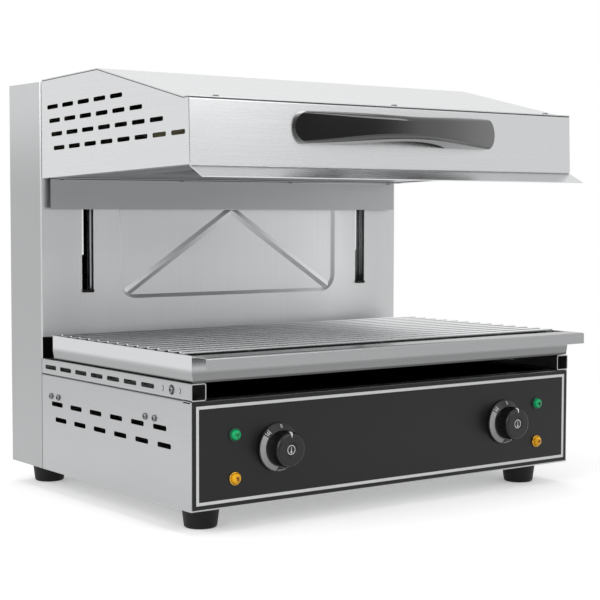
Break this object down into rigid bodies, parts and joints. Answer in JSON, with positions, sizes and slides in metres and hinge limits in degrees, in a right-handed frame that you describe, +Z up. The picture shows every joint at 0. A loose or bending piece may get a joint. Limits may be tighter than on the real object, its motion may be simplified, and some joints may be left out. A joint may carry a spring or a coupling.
{
  "type": "cheese melter",
  "caption": "Worktop grill with a hood that lifts on a rear column, rod grid over a drip pan, knobs, pilot lamps and rubber feet.",
  "frame": {"origin": "middle of the whole box at the level that the feet stand on", "axes": "+X to the user's right along the width, -Y towards the user, +Z up"},
  "size_m": [0.6048, 0.4996, 0.5385],
  "materials": {
    "stainless": "satin",
    "stainless_bright": "bright",
    "steel_plated": "zinc plated",
    "fascia_dark": "satin",
    "chrome": "polished",
    "screw_steel": "satin",
    "handle_black": "satin",
    "knob_black": "satin",
    "rubber_black": "matt",
    "lens_green": "gloss",
    "lens_amber": "gloss",
    "lamp_rim": "polished",
    "bronze": "machined",
    "nylon": "satin",
    "phenolic": "satin",
    "element_dark": "oxidised",
    "mineral_wool": "matt",
    "iron": "painted grey",
    "cable_steel": "stranded"
  },
  "bodies": {
    "base": {"feet": "rubber_black", "base_floor": "stainless", "base_side_left": "stainless", "base_side_right": "stainless", "control_panel": "stainless", "control_fascia": "fascia_dark", "base_top": "stainless", "pan_rail_left": "stainless", "pan_rail_right": "stainless", "pan_glides": "nylon", "regulators": "phenolic", "knob_bezels": "knob_black", "lamps_green": "lens_green", "lamps_amber": "lens_amber", "lamp_bezels": "lamp_rim", "column_wrap": "stainless", "column_back": "stainless", "column_top": "stainless", "slot_bumpers": "rubber_black", "guide_rods": "chrome", "guide_clamps": "steel_plated", "pulley_brackets": "steel_plated", "pulley_axles": "screw_steel", "cable_wraps": "cable_steel", "cable_front_runs": "cable_steel", "cable_rear_runs": "cable_steel", "side_screws": "screw_steel", "cable_gland": "handle_black", "terminal_block": "phenolic"},
    "hood": {"hood_top": "stainless", "hood_side_left": "stainless", "hood_side_right": "stainless", "hood_front": "stainless", "hood_back": "stainless", "hood_underside": "stainless", "front_deflector": "stainless_bright", "rear_plate": "stainless", "reflector": "stainless_bright", "insulation": "mineral_wool", "element_hangers": "stainless", "heating_element_left": "element_dark", "heating_element_right": "element_dark", "handle": "handle_black", "hood_screws": "screw_steel", "arm_left": "stainless", "arm_right": "stainless", "carriage_block_left": "steel_plated", "carriage_block_right": "steel_plated", "guide_bushes": "bronze", "crossbar": "steel_plated"},
    "counterweight": {"counterweight": "iron"},
    "pulley_left": {"pulley_left": "nylon"},
    "pulley_right": {"pulley_right": "nylon"},
    "knob_left": {"knob_left": "knob_black", "knob_spindle_left": "screw_steel"},
    "knob_right": {"knob_right": "knob_black", "knob_spindle_right": "screw_steel"},
    "drip_pan": {"drip_pan": "stainless"},
    "rod_grid": {"rod_grid": "chrome"}
  },
  "joints": [
    {"name": "hood_lift", "type": "slide", "parent": "base", "child": "hood", "axis": [0, 0, 1], "range_m": [-0.119, 0], "deforming": ["cable_front_runs"]},
    {"name": "counterweight_lift", "type": "slide", "parent": "base", "child": "counterweight", "axis": [0, 0, 1], "range_m": [0, 0.119], "deforming": ["cable_rear_runs"]},
    {"name": "pulley_left_spin", "type": "hinge", "parent": "base", "child": "pulley_left", "pos_m": [-0.11, 0.19877, 0.5085], "axis": [1, 0, 0], "range_deg": [-5, 510]},
    {"name": "pulley_right_spin", "type": "hinge", "parent": "base", "child": "pulley_right", "pos_m": [0.11, 0.19877, 0.5085], "axis": [1, 0, 0], "range_deg": [-5, 510]},
    {"name": "knob_left_turn", "type": "hinge", "parent": "base", "child": "knob_left", "pos_m": [-0.181, -0.21823, 0.0923], "axis": [0, -1, 0], "range_deg": [0, 270]},
    {"name": "knob_right_turn", "type": "hinge", "parent": "base", "child": "knob_right", "pos_m": [0.181, -0.21823, 0.0923], "axis": [0, -1, 0], "range_deg": [0, 270]},
    {"name": "pan_slide", "type": "slide", "parent": "base", "child": "drip_pan", "axis": [0, -1, 0], "range_m": [0, 0.3]},
    {"name": "grid_lift", "type": "slide", "parent": "drip_pan", "child": "rod_grid", "axis": [0, 0, 1], "range_m": [0, 0.05]}
  ],
  "couplings": [
    {"joint": "counterweight_lift", "follows": "hood_lift", "ratio": -1},
    {"joint": "pulley_left_spin", "follows": "hood_lift", "rad_per_m": -74.074},
    {"joint": "pulley_right_spin", "follows": "hood_lift", "rad_per_m": -74.074}
  ]
}
